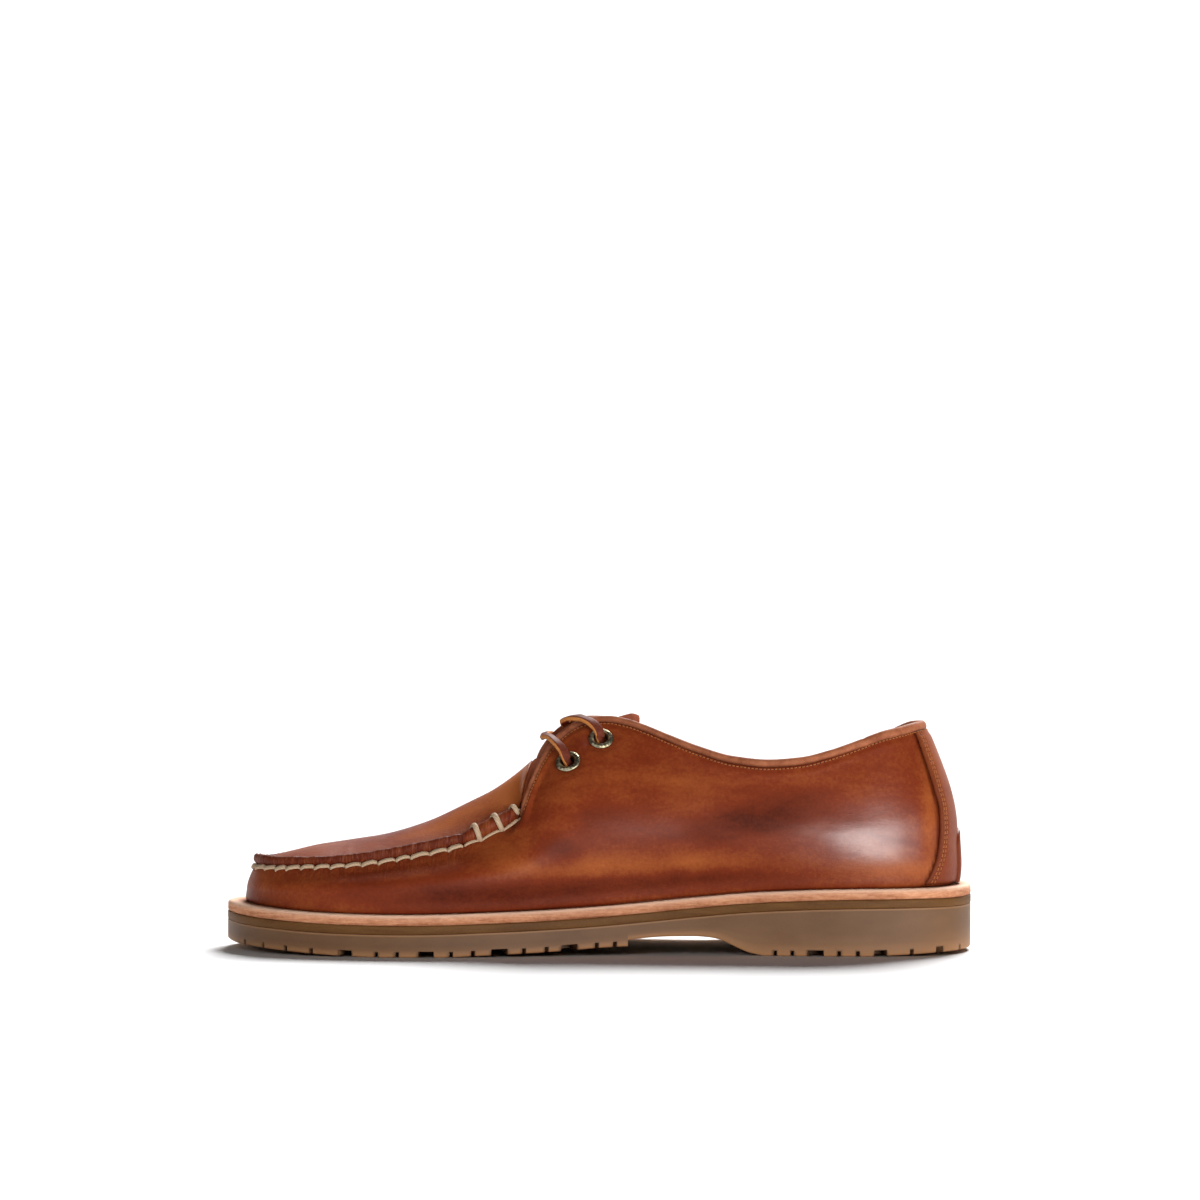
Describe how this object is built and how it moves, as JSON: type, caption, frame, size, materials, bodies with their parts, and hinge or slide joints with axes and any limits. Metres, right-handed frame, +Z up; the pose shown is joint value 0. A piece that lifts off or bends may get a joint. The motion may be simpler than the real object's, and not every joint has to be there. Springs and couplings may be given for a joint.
{
  "type": "oxford shoe",
  "caption": "Low moc-toe leather lace-up shoe for the right foot, with a welted, lugged rubber sole and metal eyelets.",
  "frame": {"origin": "middle of the sole's outline on the ground", "axes": "+Z up, -X towards the toe, +X towards the heel, -Y the inner (medial) side of the foot"},
  "size_m": [0.3, 0.1086, 0.0963],
  "materials": {
    "upper_leather": "waxed pull-up leather, chestnut brown, semi-gloss",
    "binding_leather": "rolled edge leather, matt sheen",
    "welt_leather": "natural veg-tan strip, raw cut edge",
    "midsole_rubber": "dark brown, matt",
    "outsole_rubber": "gum brown, satin, lighter where cut",
    "sock_leather": "natural leather footbed",
    "eyelet_brass": "antique nickel-brass",
    "lace_rawhide": "waxed rawhide, orange-tan cut edges"
  },
  "bodies": {
    "root": {"outsole": "outsole_rubber", "midsole": "midsole_rubber", "welt": "welt_leather", "insole": "sock_leather", "upper": "upper_leather", "heel_counter": "upper_leather", "tongue": "upper_leather", "collar_binding": "binding_leather", "eyelet_near_lower": "eyelet_brass", "eyelet_near_upper": "eyelet_brass", "eyelet_far_lower": "eyelet_brass", "eyelet_far_upper": "eyelet_brass", "lace_lower_bar": "lace_rawhide", "lace_upper_bar": "lace_rawhide"}
  },
  "joints": []
}
